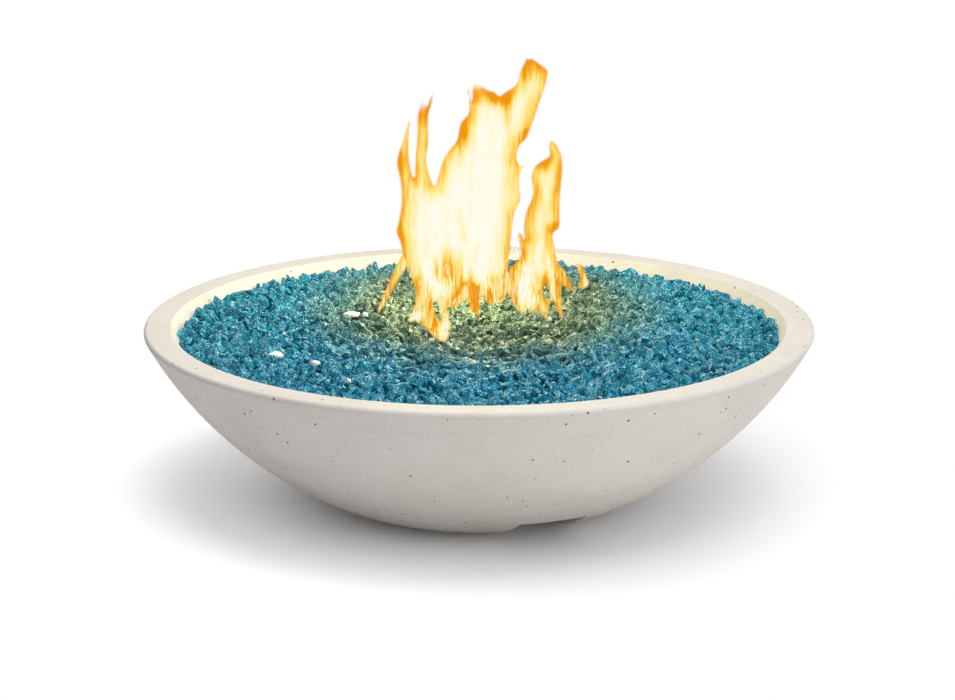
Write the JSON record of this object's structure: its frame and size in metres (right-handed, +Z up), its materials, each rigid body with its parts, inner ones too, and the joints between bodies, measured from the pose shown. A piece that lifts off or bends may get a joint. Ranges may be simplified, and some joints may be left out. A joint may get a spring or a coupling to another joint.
{
  "type": "tabletop gas fire pit",
  "caption": "Round concrete bowl fire pit for tabletop or patio with a ring burner under crushed glass, a key valve at the back and a hose slot in the foot.",
  "frame": {"origin": "centre of the foot on the surface that the pads stand on", "axes": "+Z up along the bowl's axis, -Y to the front as pictured, +X to the right; the hose slot opens 22 degrees to the right of the front and the key valve is at the back, +Y"},
  "size_m": [0.8125, 0.8126, 0.222],
  "materials": {
    "concrete": "light warm grey cast concrete, fine matt skin with sparse small pinholes",
    "stainless": "satin stainless sheet and tube",
    "screw_steel": "bright zinc-plated steel",
    "flex_steel": "stainless flexible gas line",
    "mixer_steel": "plain cast and turned alloy",
    "brass": "turned gas brass",
    "chrome": "polished chrome plating",
    "rubber": "matt black rubber",
    "fire_glass": "crushed turquoise fire glass with mirror-bright chips"
  },
  "bodies": {
    "root": {"bowl_shell": "concrete", "burner_pan": "stainless", "burner_ring_outer": "stainless", "burner_ring_inner": "stainless", "burner_spokes": "stainless", "burner_hub": "stainless", "burner_feet": "stainless", "hub_washer": "stainless", "hub_locknut": "stainless", "pan_screws": "screw_steel", "bracket_screws": "screw_steel", "inlet_bracket": "screw_steel", "burner_line": "flex_steel", "supply_line": "flex_steel", "air_mixer": "mixer_steel", "ledge_inserts": "brass", "floor_inserts": "brass", "burner_elbow": "brass", "orifice_spud": "brass", "burner_line_nut_mixer": "brass", "burner_line_nut_valve": "brass", "supply_line_nut_valve": "brass", "supply_line_nut_inlet": "brass", "valve_body": "brass", "valve_bonnet": "brass", "inlet_union": "brass", "inlet_locknut": "brass", "key_escutcheon": "chrome", "key_guide_tube": "chrome", "key_guide_nut": "chrome", "foot_pads": "rubber", "stem_seal": "rubber", "key_grip_ring": "rubber", "fire_glass_fill": "fire_glass", "fire_glass_top": "fire_glass"},
    "air_shutter": {"air_shutter": "mixer_steel", "shutter_screw": "screw_steel"},
    "valve_stem": {"valve_plug": "brass"},
    "gas_key": {"gas_key_shaft": "chrome", "gas_key_handle": "chrome"}
  },
  "joints": [
    {"name": "shutter_turn", "type": "hinge", "parent": "root", "child": "air_shutter", "pos_m": [0, 0, 0.112], "axis": [-1, 0, 0], "range_deg": [0, 45]},
    {"name": "valve_turn", "type": "hinge", "parent": "root", "child": "valve_stem", "pos_m": [0, 0.28377, 0.08713], "axis": [0, 0.9397, -0.342], "range_deg": [-90, 0]},
    {"name": "key_pull", "type": "slide", "parent": "valve_stem", "child": "gas_key", "axis": [0, 0.9397, -0.342], "range_m": [0, 0.05]}
  ]
}
